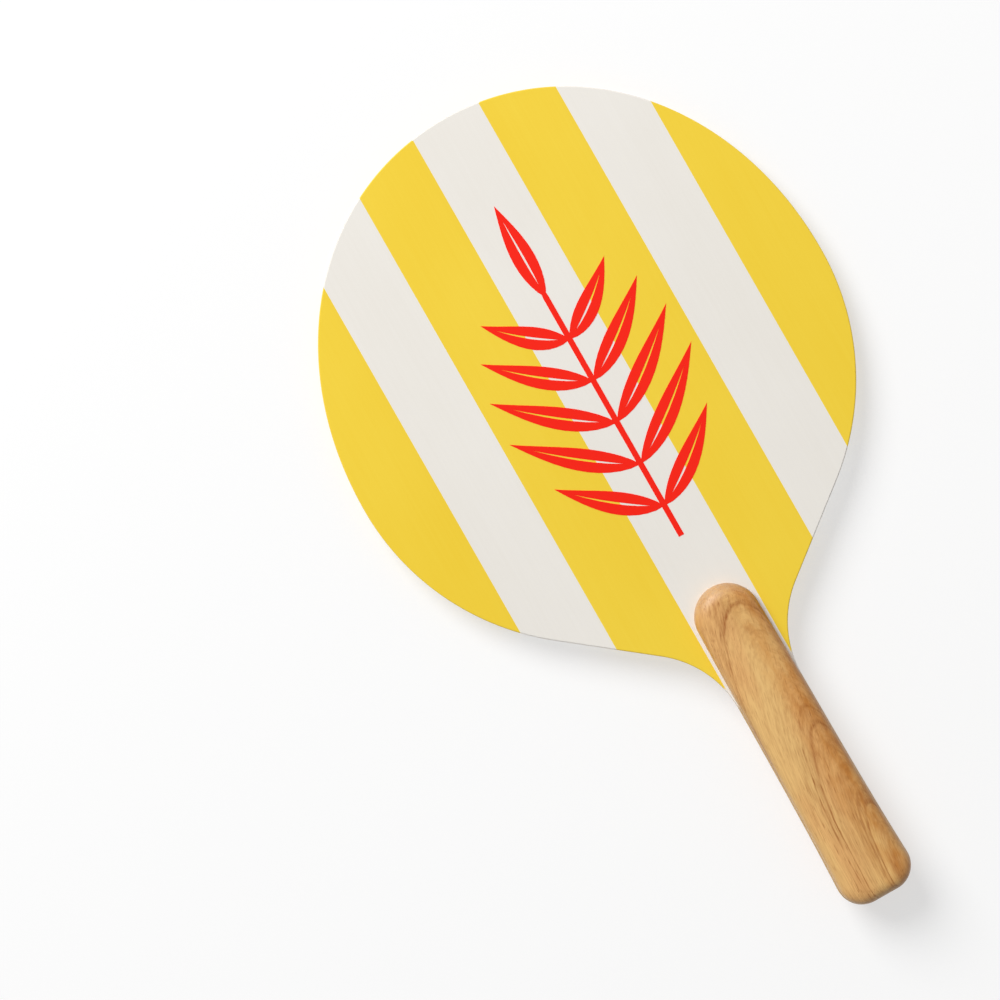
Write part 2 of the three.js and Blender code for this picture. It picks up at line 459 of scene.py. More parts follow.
class HandleFigure(Graph):
    """The graph that draws a handle's wood, with each point's place in the handle."""

    def __init__(self, wood: HandleWood) -> None:
        """Starts the graph with the places that its parts share.

        Args:
            wood: The wood to draw.
        """
        super().__init__(wood.name, wood.seed)
        self.wood = wood
        self.across, height, level = self.parts(self.place)
        self.along = self.maths("SUBTRACT", height, wood.butt)
        self.depth = self.apart(level, wood.crown)
        self.vessels = Lane(self, self.slanted(), self.along, self.depth)

    def build(self) -> bpy.types.Material:
        """Draws the wood.

        Returns:
            The material.
        """
        wood = self.wood
        shell = self.shell()
        drawn = self.drawn_rings(shell)
        ringwise = self.times(shell, wood.slimness)
        lane = Lane(self, ringwise, self.along, self.across, wood.apex_widening)
        fibres = lane.noise(wood.fibre)
        lines = self.maths("FRACT", self.maths("DIVIDE", shell, wood.ring_gap))
        layers = ((lines, wood.line_strength), (lane.noise(wood.streak), wood.streak_strength))
        figure = self.layered(self.broken(drawn), *layers, (fibres, wood.fibre_strength))
        patches = self.noise(wood.broad)
        plain = self.mix(self.ramp(patches, wood.rosy_share, soft=True), wood.light, wood.rosy)
        # The browner band darkens one side: partly heartwood, partly painted shade.
        base = self.mix(self.brown(), plain, wood.heartwood)
        # Paler grain facing the head is partly a painted sheen; darker grain facing the butt is partly
        # painted shade.
        ended = self.ended(self.mix(figure, base, wood.dark))
        pores = self.pores(patches, drawn)
        sunk = self.times(pores, wood.pore_relief)
        return self.finish(
            self.mix(pores, ended, wood.pore),
            self.maths("MULTIPLY_ADD", pores, wood.pore_roughness, wood.roughness),
            self.maths("MULTIPLY_ADD", fibres, wood.fibre_relief, sunk),
            wood.relief_depth,
            Specular_IOR_Level=wood.specular,
            Coat_Weight=wood.varnish,
            Coat_Roughness=wood.varnish_roughness,
        )

    def slanted(self) -> Socket:
        """Place across the vessels, which slant over more and more towards the head."""
        rise = self.maths("MULTIPLY_ADD", self.along, self.wood.bow, self.wood.slant)
        return self.maths("SUBTRACT", self.across, self.times(self.along, rise))

    def beside_heart(self) -> Socket:
        """How far beside the heart line a point lies, as the line leans over and wanders a little.

        Returns:
            The distance.
        """
        wood = self.wood
        share = self.maths("ABSOLUTE", self.maths("DIVIDE", self.along, wood.lean_reach))
        lean = self.maths("POWER", share, wood.lean_growth)
        leant = self.maths("MULTIPLY_ADD", lean, wood.heart_lean, -wood.heart_across)
        wander = self.centred(self.noise(wood.wandering))
        shift = self.maths("MULTIPLY_ADD", wander, wood.wander, leant)
        return self.maths("ABSOLUTE", self.maths("ADD", self.across, shift))

    def shell(self) -> Socket:
        """Which shell of the tree a point lies in.

        Returns:
            How far up the handle that shell reaches.
        """
        wood = self.wood
        sideways = self.maths("MULTIPLY_ADD", self.beside_heart(), 1 / wood.slimness, wood.point)
        lengthways = self.apart(self.along, wood.heart_along)
        powers = [self.maths("POWER", arm, wood.roundness) for arm in (sideways, lengthways)]
        shell = self.maths("POWER", self.maths("ADD", *powers), 1 / wood.roundness)
        ripple = self.centred(self.noise(wood.rippling))
        rippled = self.maths("MULTIPLY_ADD", ripple, wood.ripple, shell)
        return self.maths("MULTIPLY_ADD", self.depth, wood.dip, rippled)

    def drawn_rings(self, shell: Value) -> Socket:
        """How dark the growth ring at a shell is, from 0 to 1."""
        marks = [(ring * MM / self.wood.reach, tone) for ring, tone in self.wood.rings]
        return self.ramp(self.maths("DIVIDE", shell, self.wood.reach), marks)

    def broken(self, drawn: Value) -> Socket:
        """Breaks the rings into strands, which fade in places.

        Args:
            drawn: How dark the rings are.

        Returns:
            How dark the broken rings are.
        """
        wood = self.wood
        fade = self.ramp(self.noise(wood.fading), wood.fade_share)
        strands = self.ramp(self.vessels.noise(wood.strand), wood.strand_share)
        broken = self.times(self.times(drawn, fade), strands)
        return self.times(broken, wood.ring_strength)

    def brown(self) -> Socket:
        """How much of the browner tone shows, in a mottled band along one side: partly heartwood,
        partly painted shade.

        Returns:
            The share of the heartwood and painted shade.
        """
        wood = self.wood
        beside = self.maths("DIVIDE", self.apart(self.across, wood.brown_across), wood.brown_width)
        mottle = self.ramp(self.noise(wood.brown_mottle), wood.brown_mottle_share)
        return self.times(self.ramp(beside, wood.brown_share, soft=True), mottle)

    def ended(self, side_grain: Value) -> Socket:
        """Shows paler end grain where the surface turns to the head, partly a painted sheen, and darker
        grain at the butt, partly painted shade.

        Args:
            side_grain: The colour of the wood elsewhere.

        Returns:
            The colour with its end grain, painted sheen and painted shade.
        """
        wood = self.wood
        lengthways = self.facing(1)
        mottle = self.ramp(self.noise(wood.end_mottle), wood.end_mottle_share)
        headward_sheen = self.ramp(lengthways, wood.end_turn, soft=True)
        buttward_shade = self.ramp(self.times(lengthways, -1.0), wood.butt_turn, soft=True)
        sheen_topped = self.mix(self.times(headward_sheen, mottle), side_grain, wood.end_grain)
        return self.mix(self.times(buttward_shade, mottle), sheen_topped, wood.butt_grain)

    def pores(self, patches: Value, drawn: Value) -> Socket:
        """Short dark dashes, closer together in some patches and in dark rings.

        Args:
            patches: Noise that thins the pores out.
            drawn: How dark the rings are.

        Returns:
            How dark the pore is, from 0 to 1.
        """
        wood = self.wood
        dashes = self.ramp(self.vessels.noise(wood.dash), wood.dash_share)
        thinned = self.ramp(patches, wood.dash_thinning)
        crowded = self.maths("MULTIPLY_ADD", drawn, wood.pore_crowding, thinned)
        return self.times(dashes, crowded)


@dataclass(frozen=True)
class EdgePaint:
    """The stripes' paint, which runs out over the rounded edge of a face veneer."""

    borders: tuple[float, ...]
    middle: Colour
    beside: Colour
    foot: float
    run_out: float = 3 * MM
    turn: Stops = ((0.25, 0.0), (0.5, 1.0))

    def over(self, graph: Graph, wood: Value) -> Socket:
        """Lays the paint where the surface has not yet turned down to the side.

        Args:
            graph: The graph to add to.
            wood: The wood's colour.

        Returns:
            The colour of wood and paint.
        """
        across, along, _ = graph.parts(graph.place)
        beside = graph.maths("ABSOLUTE", across)
        crossed: Value = 0.0
        for border in self.borders:
            crossed = graph.maths("ADD", graph.maths("GREATER_THAN", beside, border), crossed)
        second_coat = graph.maths("MODULO", crossed, COATS_IN_TURN)
        paint = graph.mix(second_coat, self.middle, self.beside)
        facing = graph.maths("ABSOLUTE", graph.facing(2))
        reach = {"Value": along, "From Min": self.foot, "From Max": self.foot + self.run_out}
        above = graph.node("MapRange", reach).outputs[0]
        share = graph.times(graph.ramp(facing, self.turn), above)
        return graph.mix(share, wood, paint)


@dataclass(frozen=True)
class PlyWood:
    """Pale plywood veneer, with a darker glue line along both of its faces."""

    name: str
    grain: Grain
    low: float
    high: float
    light: Colour
    dark: Colour
    seed: float
    paint: EdgePaint | None = None
    glue: Colour = linear(150, 108, 66)
    glue_line: float = 0.09 * MM
    glue_share: Stops = ((0.0, 0.75), (0.6, 0.55), (1.0, 0.0))
    fibre: Patches = Patches(0.6 * MM, 22 * MM)
    streak: Patches = Patches(4 * MM, 100 * MM, seed=1)
    tone: float = 0.42
    fibre_strength: float = 1.1
    streak_strength: float = 1.0
    relief_depth: float = 0.05 * MM
    roughness: float = 0.55
    specular: float = 0.3

    def material(self) -> bpy.types.Material:
        """Builds the veneer.

        Returns:
            The material.
        """
        graph = Graph(self.name, self.seed, self.grain)
        fibres = graph.noise(self.fibre)
        layers = ((fibres, self.fibre_strength), (graph.noise(self.streak), self.streak_strength))
        wood = graph.mix(graph.layered(self.tone, *layers), self.light, self.dark)
        level = graph.parts(graph.place)[2]
        above = graph.maths("SUBTRACT", level, self.low)
        below = graph.maths("SUBTRACT", self.high, level)
        edge = graph.maths("DIVIDE", graph.maths("MINIMUM", above, below), self.glue_line)
        colour = graph.mix(graph.ramp(edge, self.glue_share), wood, self.glue)
        if self.paint:
            colour = self.paint.over(graph, colour)
        return graph.finish(
            colour, self.roughness, fibres, self.relief_depth, Specular_IOR_Level=self.specular
        )


@dataclass(frozen=True)
class Coat:
    """Satin paint or ink over plywood, with the veneer's grain just showing through it."""

    name: str
    colour: Colour
    deep: Colour
    roughness: float = 0.44
    seed: float = 5.0
    cloud: Patches = Patches(60 * MM, 110 * MM)
    grain: Patches = Patches(1.4 * MM, 60 * MM, seed=1)
    stipple: Patches = Patches(0.8 * MM, 0.8 * MM, detail=2, seed=2)
    tone: float = 0.35
    cloud_strength: float = 1.6
    grain_strength: float = 0.7
    stipple_strength: float = 0.4
    stipple_roughness: float = 0.08
    relief_depth: float = 0.02 * MM
    specular: float = 0.16

    def material(self) -> bpy.types.Material:
        """Builds the coat.

        Returns:
            The material.
        """
        graph = Graph(self.name, self.seed)
        cloud, grain, stipple = map(graph.noise, (self.cloud, self.grain, self.stipple))
        tone = graph.layered(self.tone, (cloud, self.cloud_strength), (grain, self.grain_strength))
        stippled = graph.times(stipple, self.stipple_strength)
        return graph.finish(
            graph.mix(tone, self.colour, self.deep),
            graph.maths("MULTIPLY_ADD", stipple, self.stipple_roughness, self.roughness),
            graph.maths("MULTIPLY_ADD", grain, self.grain_strength, stippled),
            self.relief_depth,
            Specular_IOR_Level=self.specular,
        )


WHITE_PAINT = Coat("white_paint", linear(238, 234, 227), linear(232, 227, 218))
YELLOW_PAINT = Coat("yellow_paint", linear(244, 211, 66), linear(240, 203, 52))
RED_INK = Coat("red_ink", linear(250, 36, 16), linear(244, 30, 12), roughness=0.4)


@dataclass(frozen=True)
class FloorPaper:
    """Plain white paper, which shows white to the camera where no shadow falls."""

    name: str = "floor_paper"
    colour: Colour = (0.55, 0.55, 0.55)
    fleck_shade: float = 0.985
    fleck: Patches = Patches(1.1 * MM, 1.1 * MM, detail=2)
    relief_depth: float = 0.02 * MM
    roughness: float = 0.9
    lift: float = 0.45
    shadow_reach: float = 0.35
    white_reach: float = 0.9
    shadow_lightening: float = 0.2

    def material(self) -> bpy.types.Material:
        """Builds the paper, which is clear when seen from below, and lets the light there through.

        Returns:
            The material.
        """
        graph = Graph(self.name)
        flecks = graph.noise(self.fleck)
        flecked = tuple(self.fleck_shade * channel for channel in self.colour)
        colour = graph.mix(flecks, self.colour, flecked)
        paper = graph.finish(colour, self.roughness, flecks, self.relief_depth, Specular_IOR_Level=0.0)
        behind = graph.node("NewGeometry").outputs["Backfacing"]
        shadow = graph.node("LightPath").outputs["Is Shadow Ray"]
        clear = graph.node("BsdfTransparent").outputs[0]
        sides = {0: graph.maths("MAXIMUM", behind, shadow), 1: self.whitened(graph), 2: clear}
        graph.feed(graph.output.inputs["Surface"], graph.node("MixShader", sides).outputs[0])
        return paper

    def whitened(self, graph: Graph) -> Socket:
        """Lightens the paper for the camera, up to plain white far out.

        Args:
            graph: The graph to add to.

        Returns:
            The shader.
        """
        seen = graph.seen()
        lifted = graph.node("Emission", {"Strength": graph.times(seen, self.lift)})
        near = graph.node("AddShader", {0: graph.shader.outputs[0], 1: lifted.outputs[0]})
        distance = graph.node("VectorMath", {0: graph.place}, operation="LENGTH").outputs["Value"]
        reaches = {"Value": distance, "From Min": self.shadow_reach, "From Max": self.white_reach}
        reaches |= {"To Min": self.shadow_lightening}
        spread = graph.node("MapRange", reaches, interpolation_type="SMOOTHSTEP").outputs[0]
        white = graph.node("Emission")
        outer = {0: graph.times(spread, seen), 1: near.outputs[0], 2: white.outputs[0]}
        return graph.node("MixShader", outer).outputs[0]


class Modeller:
    """One new piece, modelled in edit mode at its real place."""

    def __init__(self, name: str) -> None:
        """Starts the piece as a single vertex at the origin.

        Args:
            name: The piece's name.
        """
        bpy.ops.object.select_all(action="DESELECT")
        bpy.ops.mesh.primitive_plane_add(size=1, location=(0, 0, 0))
        self.piece = bpy.context.object
        self.piece.name = name
        self.piece.data.name = name
        bpy.ops.object.mode_set(mode="EDIT")
        bpy.ops.mesh.select_mode(type="VERT")
        bpy.ops.mesh.select_all(action="SELECT")
        bpy.ops.mesh.merge(type="CENTER")
        self.tip = Vector((0, 0, 0))

    def start_at(self, point: Vector) -> None:
        """Moves the single vertex to where an outline starts."""
        bpy.ops.transform.translate(value=point - self.tip)
        self.tip = point.copy()

    def line_to(self, *points: Vector) -> None:
        """Extrudes the last vertex from point to point.

        Args:
            *points: The next points of the outline.
        """
        for point in points:
            bpy.ops.mesh.extrude_vertices_move(TRANSFORM_OT_translate={"value": point - self.tip})
            self.tip = point.copy()

    def arc_about(self, centre: Vector, turn: float, steps: int) -> None:
        """Spins the last vertex about a centre. A positive turn is anticlockwise from above.

        Args:
            centre: The arc's centre.
            turn: How far to turn, in radians.
            steps: How many edges the arc has.
        """
        # The operator's own turn is clockwise about +Z.
        bpy.ops.mesh.spin(steps=steps, angle=-turn, center=centre, axis=(0, 0, 1))
        arm = self.tip - centre
        cosine, sine = math.cos(turn), math.sin(turn)
        turned = Vector((arm.x * cosine - arm.y * sine, arm.x * sine + arm.y * cosine, 0))
        self.tip = centre + turned

    def mirror_and_fill(self) -> None:
        """Mirrors the right half of an outline across the middle plane and fills it."""
        bpy.ops.object.mode_set(mode="OBJECT")
        mirror = self.piece.modifiers.new("left_half", "MIRROR")
        mirror.use_axis = (True, False, False)
        mirror.merge_threshold = MERGE_REACH
        bpy.ops.object.modifier_apply(modifier=mirror.name)
        bpy.ops.object.mode_set(mode="EDIT")
        bpy.ops.mesh.select_all(action="SELECT")
        bpy.ops.mesh.edge_face_add()

    def choose(self, level: float, low: float = -math.inf, high: float = math.inf) -> None:
        """Selects the vertices at a level, with the edges and faces between them.

        Args:
            level: Their height.
            low: Where the chosen stretch of the handle starts.
            high: Where it ends.
        """
        shape = bmesh.from_edit_mesh(self.piece.data)
        for element in (*shape.faces, *shape.edges, *shape.verts):
            element.select = False
        for vertex in shape.verts:
            place = vertex.co
            vertex.select = abs(place.z - level) < SAME_PLACE and low <= place.y < high
        shape.select_flush(True)
        bmesh.update_edit_mesh(self.piece.data)

    def raise_to(self, height: float, level: float) -> None:
        """Extrudes what lies at a level up or down to a height."""
        self.choose(level)
        bpy.ops.mesh.extrude_region_move(TRANSFORM_OT_translate={"value": (0, 0, height - level)})

    def done(self, smooth_angle: float) -> Piece:
        """Turns the faces outwards, leaves edit mode and shades the piece smooth.

        Args:
            smooth_angle: Edges sharper than this stay sharp, in radians.

        Returns:
            The finished object.
        """
        bpy.ops.mesh.select_all(action="SELECT")
        bpy.ops.mesh.remove_doubles(threshold=SAME_PLACE)
        bpy.ops.mesh.normals_make_consistent(inside=False)
        bpy.ops.object.mode_set(mode="OBJECT")
        bpy.ops.object.shade_smooth_by_angle(angle=smooth_angle)
        return self.piece


def copied(piece: Piece, name: str) -> Piece:
    """Copies a piece, with a mesh of its own.

    Args:
        piece: The piece to copy.
        name: The copy's name.

    Returns:
        The copy.
    """
    bpy.ops.object.select_all(action="DESELECT")
    piece.select_set(True)
    bpy.context.view_layer.objects.active = piece
    bpy.ops.object.duplicate(linked=False)
    copy = bpy.context.object
    copy.name = name
    copy.data.name = name
    return copy


def dress(piece: Piece, material: bpy.types.Material) -> None:
    """Gives a new piece its one material."""
    piece.data.materials.clear()
    piece.data.materials.append(material)


def flat(x: float, y: float) -> Vector:
    """A point on the drawing plane."""
    return Vector((x, y, 0))


def polar(radius: float, angle: float) -> Vector:
    """A point on the drawing plane, by its distance and direction from the origin."""
    return flat(math.cos(angle), math.sin(angle)) * radius


@dataclass(frozen=True)
class HandleShape:
    """The handle's outline at the edge of the tang, which the scales follow a little inside."""

    butt: float
    top: float
    butt_half_width: float = 17.3 * MM
    corner_radius: float = 11.5 * MM
    butt_flare: float = math.radians(2.5)
    dome_radius: float = 14.7 * MM
    shoulder_taper: float = math.radians(1.4)
    edge_round: float = 0.4 * MM
    corner_steps: int = 20
    side_steps: int = 26
    dome_steps: int = 30

    @property
    def corner_centre(self) -> Vector:
        """Centre of the round at the right corner of the butt."""
        return flat(self.butt_half_width - self.corner_radius, self.butt + self.corner_radius)

    @property
    def dome_centre(self) -> Vector:
        """Centre of the scales' round top."""
        return flat(0, self.top - self.dome_radius)

    @property
    def butt_centre(self) -> Vector:
        """Lower end of the middle line that the crown is drawn in to."""
        return flat(0, self.butt + self.corner_radius)

    def side_ends(self) -> tuple[Vector, Vector]:
        """Where the side leaves the corner and where it reaches the dome.

        Returns:
            The lower end and the upper end.
        """
        corner = polar(self.corner_radius, self.butt_flare)
        dome = polar(self.dome_radius + self.edge_round, self.shoulder_taper)
        return self.corner_centre + corner, self.dome_centre + dome

    def side_at(self, share: float, inside: float = 0.0) -> Vector:
        """A point of the right side, which is one cubic curve.

        Args:
            share: 0 at the corner, 1 at the dome.
            inside: How far inside the tang's edge the point lies.

        Returns:
            The point.
        """
        foot, head = self.side_ends()
        third = (head.y - foot.y) / 3
        first = flat(foot.x - third * math.tan(self.butt_flare), foot.y + third)
        second = flat(head.x + third * math.tan(self.shoulder_taper), head.y - third)
        rest = 1 - share
        lower = foot * rest**3 + first * (3 * rest**2 * share)
        point = lower + second * (3 * rest * share**2) + head * share**3
        along = (first - foot) * rest**2 + (second - first) * (2 * rest * share)
        along += (head - second) * share**2
        return point - flat(along.y, -along.x).normalized() * inside

    def side_points(self, top_share: float, inside: float = 0.0) -> list[Vector]:
        """Points of the right side from above its lower end up to a share, a little inside it."""
        shares = (top_share * step / self.side_steps for step in range(1, self.side_steps + 1))
        return [self.side_at(share, inside) for share in shares]

    def trace_butt(self, modeller: Modeller, inside: float = 0.0) -> None:
        """Draws the outline's start: half of the butt end and its corner.

        Args:
            modeller: The piece to draw.
            inside: How far inside the tang's edge it lies.
        """
        modeller.start_at(flat(0, self.butt + inside))
        modeller.line_to(flat(self.corner_centre.x, self.butt + inside))
        modeller.arc_about(self.corner_centre, QUARTER_TURN + self.butt_flare, self.corner_steps)


@dataclass(frozen=True)
class BladeShape:
    """The blade's outline: tang, hollow throats, straight flanks and oval head."""

    handle: HandleShape
    tip: float
    head_half_width: float
    widest_to_tip: float = 131.4 * MM
    tip_fullness: float = 2.05
    flank_angle: float = math.radians(38.2)
    throat_radius: float = 47 * MM
    throat_steps: int = 28
    head_steps: int = 36
    tip_steps: int = 72
    settling_passes: int = 4

    @property
    def widest(self) -> float:
        """Height of the head's widest line."""
        return self.tip - self.widest_to_tip

    def throat(self) -> tuple[Vector, float]:
        """The throat's centre, and the share of the handle's side where it takes over.

        Returns:
            The centre and the share.
        """
        foot, head = self.handle.side_ends()
        normal = self.flank_angle - QUARTER_TURN
        share = 1.0
        centre = flat(0, 0)
        for _ in range(self.settling_passes):
            across = self.handle.side_at(share).x + self.throat_radius
            tangency = self.head_half_width + self.throat_radius - across * math.cos(normal)
            centre = flat(across, self.widest + tangency / math.sin(normal))
            share = min(1.0, (centre.y - foot.y) / (head.y - foot.y))
        return centre, share

    def tip_points(self) -> list[Vector]:
        """Points of the right side of the head above its widest line.

        Returns:
            The points, going up to the tip.
        """
        points = []
        for step in range(1, self.tip_steps + 1):
            angle = QUARTER_TURN * step / self.tip_steps
            across = self.head_half_width * max(0.0, math.cos(angle)) ** (2 / self.tip_fullness)
            along = self.widest_to_tip * math.sin(angle) ** (2 / self.tip_fullness)
            points.append(flat(across if step < self.tip_steps else 0.0, self.widest + along))
        return points

    def trace(self, modeller: Modeller) -> None:
        """Draws the right half of the blade.

        Args:
            modeller: The piece to draw.
        """
        centre, share = self.throat()
        normal = self.flank_angle - QUARTER_TURN
        tangent = polar(self.head_half_width, normal)
        foot = flat(centre.x - self.throat_radius, centre.y)
        self.handle.trace_butt(modeller)
        modeller.line_to(*self.handle.side_points(share)[:-1], foot)
        modeller.arc_about(centre, normal, self.throat_steps)
        modeller.line_to(flat(0, self.widest) + tangent)
        modeller.arc_about(flat(0, self.widest), -normal, self.head_steps)
        modeller.line_to(*self.tip_points())


@dataclass
class PlywoodBlade:
    """The five plies of the blade, cut to one outline and glued up."""

    shape: BladeShape
    crossband_nodes: tuple[str, ...] = ("front_crossband", "back_crossband")
    core_node: str = "blade_core"
    bordered_bands: tuple[str, ...] = ("middle_stripe", "right_stripe_1", "right_stripe_2")
    pale_colours: tuple[Colour, Colour] = (linear(238, 207, 152), linear(210, 172, 114))
    brown_colours: tuple[Colour, Colour] = (linear(206, 160, 100), linear(168, 120, 68))
    first_seed: float = 10.0
    seed_step: float = 3.0
    round_steps: int = 5
    smooth_angle: float = math.radians(32)
    pieces: list[Piece] = field(default_factory=list)

    def build(self) -> list[Piece]:
        """Draws the outline once and makes every ply from a copy of it.

        Returns:
            The five plies.
        """
        modeller = Modeller("ply_outline")
        self.shape.trace(modeller)
        modeller.mirror_and_fill()
        bpy.ops.object.mode_set(mode="OBJECT")
        pattern = modeller.piece
        for node in (self.core_node, *self.crossband_nodes):
            self.add_ply(modeller, pattern, node, None)
        for side in Side:
            self.add_ply(modeller, pattern, f"{side.word}_face_veneer", side)
        bpy.data.meshes.remove(pattern.data)
        return self.pieces

    def add_ply(self, modeller: Modeller, pattern: Piece, node: str, outer: Side | None) -> None:
        """Makes one ply between the heights of its node.

        Args:
            modeller: The piece being modelled.
            pattern: The filled outline.
            node: The node that the ply stands for.
            outer: The side whose edge is rounded, or None.
        """
        low, high = (corner.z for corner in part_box(node))
        modeller.piece = copied(pattern, f"{node}_ply")
        bpy.ops.object.mode_set(mode="EDIT")
        bpy.ops.mesh.select_all(action="SELECT")
        bpy.ops.transform.translate(value=(0, 0, low))
        modeller.raise_to(high, low)
        if outer:
            modeller.choose(high if outer is Side.FRONT else low)
            edge_round = self.shape.handle.edge_round
            bpy.ops.mesh.bevel(offset=edge_round, segments=self.round_steps, clamp_overlap=False)
        ply = modeller.done(self.smooth_angle)
        dress(ply, self.finish_of(node, low, high).material())
        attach(ply, "root")
        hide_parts(node)
        self.pieces.append(ply)

    def finish_of(self, node: str, low: float, high: float) -> PlyWood:
        """The finish of one ply.

        Args:
            node: The node that the ply stands for.
            low: Height of its lower face.
            high: Height of its upper face.

        Returns:
            The finish.
        """
        name = f"{node}_wood"
        seed = self.first_seed + self.seed_step * len(self.pieces)
        if node in self.crossband_nodes:
            return PlyWood(name, Grain.CROSS, low, high, *self.brown_colours, seed)
        if node == self.core_node:
            return PlyWood(name, Grain.LONG, low, high, *self.pale_colours, seed)
        borders = tuple(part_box(f"front_{band}")[1].x for band in self.bordered_bands)
        foot = self.shape.throat()[0].y
        paint = EdgePaint(borders, WHITE_PAINT.colour, YELLOW_PAINT.colour, foot)
        return PlyWood(name, Grain.LONG, low, high, *self.pale_colours, seed, paint)


@dataclass
class HandleScale:
    """One of the two wooden scales glued to the tang, rounded over to a flat crown."""

    shape: HandleShape
    side: Side
    finish: HandleWood
    wall_height: float = 1.5 * MM
    land_share: float = 0.34
    crown_fullness: float = 2.4
    crown_steps: int = 22
    smooth_angle: float = math.radians(40)

    def build(self) -> Piece:
        """Draws the seat, raises the wall and rounds the crown ring by ring.

        Returns:
            The finished scale.
        """
        node = f"{self.side.word}_handle_scale"
        low, high = (corner.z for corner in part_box(node))
        seat, crown = (low, high) if self.side is Side.FRONT else (high, low)
        modeller = Modeller(f"{self.side.word}_grip_scale")
        self.trace(modeller)
        modeller.mirror_and_fill()
        bpy.ops.transform.translate(value=(0, 0, seat))
        level = seat + self.side.value * self.wall_height
        modeller.raise_to(level, seat)
        width = 1.0
        for height, share in self.rings(level, crown):
            modeller.raise_to(height, level)
            self.draw_in(modeller, height, share / width)
            level, width = height, share
        scale = modeller.done(self.smooth_angle)
        dress(scale, self.finish.material())
        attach(scale, "root")
        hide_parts(node)
        return scale

    def trace(self, modeller: Modeller) -> None:
        """Draws the right half of the seat, inside the rounded edge of the tang.

        Args:
            modeller: The piece to draw.
        """
        shape = self.shape
        inside = shape.edge_round
        shape.trace_butt(modeller, inside)
        dome_foot = polar(shape.dome_radius, shape.shoulder_taper)
        modeller.line_to(*shape.side_points(1.0, inside)[:-1], shape.dome_centre + dome_foot)
        modeller.arc_about(shape.dome_centre, QUARTER_TURN - shape.shoulder_taper, shape.dome_steps)

    def rings(self, foot: float, crown: float) -> Iterable[tuple[float, float]]:
        """The crown's rings, from the wall up to the flat land.

        Args:
            foot: Height of the wall's top.
            crown: Height of the land.

        Yields:
            Each ring's height, and its width against the seat's.
        """
        power = 2 / self.crown_fullness
        for step in range(1, self.crown_steps + 1):
            angle = QUARTER_TURN * step / self.crown_steps
            remaining = math.cos(angle) ** power if step < self.crown_steps else 0.0
            width = self.land_share + (1 - self.land_share) * remaining
            yield foot + (crown - foot) * math.sin(angle) ** power, width

    def draw_in(self, modeller: Modeller, height: float, factor: float) -> None:
        """Draws the ring at a height in towards the handle's middle line.

        Args:
            modeller: The piece being modelled.
            height: The ring's height.
            factor: Its new width against its present one.
        """
        dome, butt = self.shape.dome_centre.y, self.shape.butt_centre.y
        for low, high, centre, lengthways in (
            (dome, math.inf, dome, factor),
            (-math.inf, butt, butt, factor),
            (butt, dome, 0, 1),
        ):
            modeller.choose(height, low, high)
            bpy.ops.transform.resize(value=(factor, lengthways, 1), center_override=(0, centre, height))


@dataclass
class PaintedFaces:
    """The stripes and the leaf print on both faces, whose solids are kept and painted."""

    white: Coat = WHITE_PAINT
    yellow: Coat = YELLOW_PAINT
    red: Coat = RED_INK
    stripes: int = 3

    def dress_nodes(self) -> dict[str, str]:
        """Gives each painted node its coat.

        Returns:
            The coat's name by node.
        """
        materials = {coat.name: coat.material() for coat in (self.white, self.yellow, self.red)}
        coats = {}
        for side in Side:
            coats[f"{side.word}_middle_stripe"] = self.white.name
            coats[f"{side.word}_leaf_print"] = self.red.name
            for place in range(1, self.stripes + 1):
                coat = self.yellow if place % COATS_IN_TURN else self.white
                for hand in ("left", "right"):
                    coats[f"{side.word}_{hand}_stripe_{place}"] = coat.name
        for node, coat in coats.items():
            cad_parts[node].material_slots[0].material = materials[coat]
        return coats


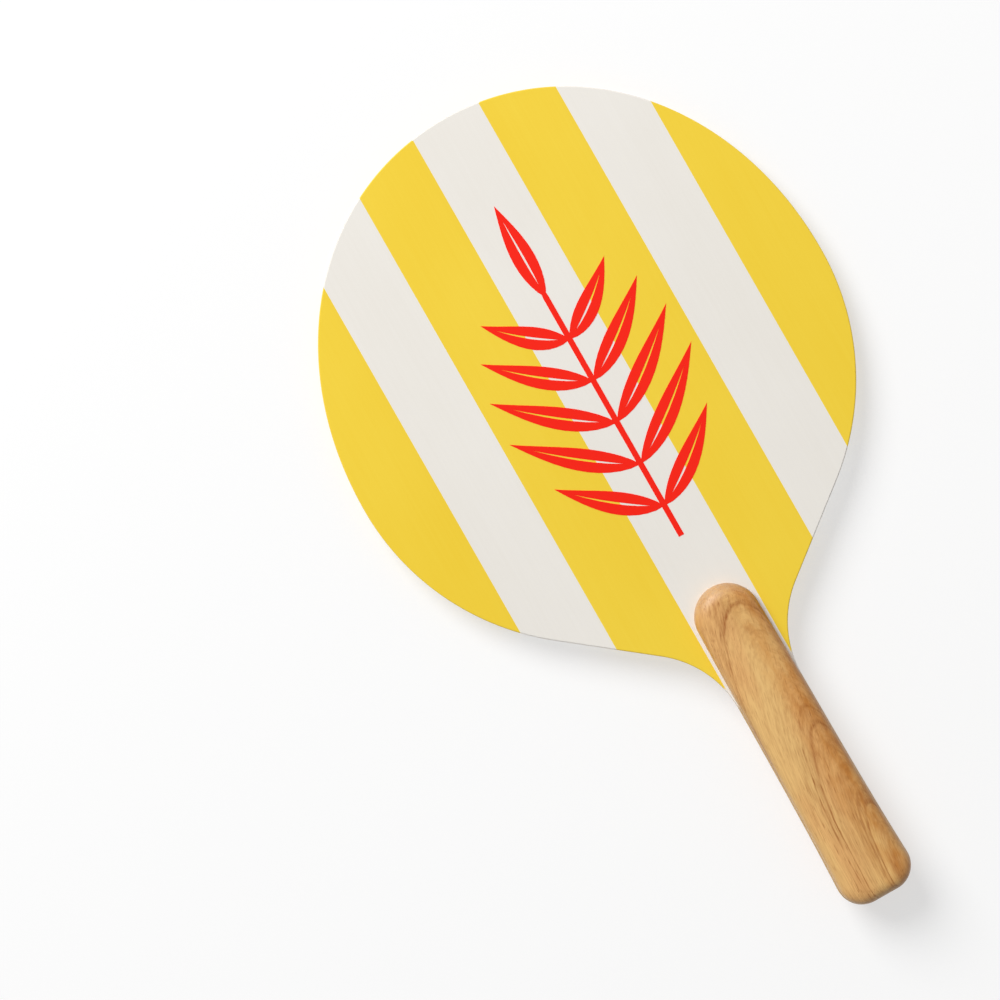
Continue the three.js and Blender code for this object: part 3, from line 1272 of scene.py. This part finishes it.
@dataclass
class Studio:
    """A pale floor, soft light from the upper left of the picture, and the camera above it."""

    rest_line: Vector
    tip_line: Vector
    look_at: Vector = Vector((-61.2 * MM, 38.2 * MM, 15.24 * MM))
    picture_up: Vector = Vector((0.49521, 0.86877, 0))
    picture_width: float = 436.6 * MM
    camera_distance: float = 1.6
    sensor: float = 36.0
    floor_size: float = 6.0
    clearance: float = 0.05 * MM
    key_size: float = 2.2
    key_distance: float = 3.5
    key_elevation: float = math.radians(44)
    key_power: float = 124.0
    fill_power: float = 50.0
    sky: float = 0.32

    def build(self) -> None:
        """Builds the stage, the lights and the camera."""
        self.add_floor()
        self.add_sky()
        self.add_lamps()
        self.add_camera()

    def add_floor(self) -> None:
        """Lays the floor under the two lines that the racket rests on."""
        run = self.tip_line - self.rest_line
        tilt = math.atan2(run.z, run.y)
        bpy.ops.object.select_all(action="DESELECT")
        place = self.rest_line - Vector((0, 0, self.clearance))
        bpy.ops.mesh.primitive_plane_add(size=self.floor_size, location=place, rotation=(tilt, 0, 0))
        bpy.ops.object.transform_apply(location=True, rotation=True, scale=True)
        floor = bpy.context.object
        floor.name = "floor"
        dress(floor, FloorPaper().material())

    def add_sky(self) -> None:
        """Lights all round, and shows white to the camera and in reflections."""
        world = bpy.data.worlds.new("studio")
        bpy.context.scene.world = world
        world.use_nodes = True
        nodes = Nodes(world.node_tree)
        levels = {"Value": nodes.seen(), "To Min": self.sky, "To Max": 1.0}
        background = nodes.tree.nodes["Background"].inputs
        nodes.feed(background["Color"], (1, 1, 1, 1))
        nodes.feed(background["Strength"], nodes.node("MapRange", levels).outputs[0])

    def add_lamps(self) -> None:
        """Hangs the large soft key lamp at the upper left of the picture, and a weaker one below."""
        up = self.picture_up.normalized()
        right = Vector((up.y, -up.x, 0))
        level = (up - right).normalized() * math.cos(self.key_elevation)
        self.add_lamp("key_light", level + Vector((0, 0, math.sin(self.key_elevation))), self.key_power)
        self.add_lamp("fill_light", Vector((0, 0, -1)), self.fill_power)

    def add_lamp(self, name: str, direction: Vector, power: float) -> None:
        """Hangs a soft round lamp that faces the racket.

        Args:
            name: The lamp's name.
            direction: Which way it lies from the racket, of length one.
            power: Its power in watts.
        """
        place = self.look_at + direction * self.key_distance
        bpy.ops.object.light_add(type="AREA", location=place)
        lamp = bpy.context.object
        lamp.name = name
        lamp.rotation_euler = (-direction).to_track_quat("-Z", "Y").to_euler()
        lamp.data.shape = "DISK"
        lamp.data.size = self.key_size
        lamp.data.energy = power

    def add_camera(self) -> None:
        """Sets the camera straight above the racket, turned as the picture is."""
        place = self.look_at + Vector((0, 0, self.camera_distance))
        bpy.ops.object.camera_add(location=place)
        camera = bpy.context.object
        camera.name = "camera"
        camera.rotation_euler = (0, 0, math.atan2(-self.picture_up.x, self.picture_up.y))
        camera.data.sensor_width = self.sensor
        camera.data.lens = self.sensor * self.camera_distance / self.picture_width
        bpy.context.scene.camera = camera
        bpy.context.scene.view_settings.view_transform = "Standard"


def main() -> None:
    """Builds the racket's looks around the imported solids, and the studio round it."""
    logging.basicConfig(level=logging.INFO, format="%(name)s: %(message)s")
    core_low, core_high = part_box("blade_core")
    scale_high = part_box("front_handle_scale")[1]
    handle = HandleShape(butt=core_low.y, top=scale_high.y)
    blade = PlywoodBlade(BladeShape(handle, tip=core_high.y, head_half_width=core_high.x))
    for ply in blade.build():
        log.info("%s: %d faces", ply.name, len(ply.data.polygons))
    woods = {
        Side.FRONT: HandleWood("front_handle_wood", crown=scale_high.z, butt=core_low.y),
        Side.BACK: HandleWood(
            "back_handle_wood",
            crown=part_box("back_handle_scale")[0].z,
            butt=core_low.y,
            heart_across=-9 * MM,
            heart_along=-20 * MM,
            heart_lean=-6 * MM,
            brown_across=-10 * MM,
            slant=-0.03,
            bow=-0.5,
            seed=23.0,
        ),
    }
    for side, wood in woods.items():
        scale = HandleScale(handle, side, wood).build()
        log.info("%s: %d faces", scale.name, len(scale.data.polygons))
    for node, coat in PaintedFaces().dress_nodes().items():
        log.info("%s: %s", node, coat)
    land_top = handle.dome_centre.y + HandleScale.land_share * handle.dome_radius
    tip_edge = core_high.y - handle.edge_round
    back_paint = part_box("back_middle_stripe")[0].z
    Studio(rest_line=Vector((0, land_top, 0)), tip_line=Vector((0, tip_edge, back_paint))).build()


if __name__ == "__main__":
    main()
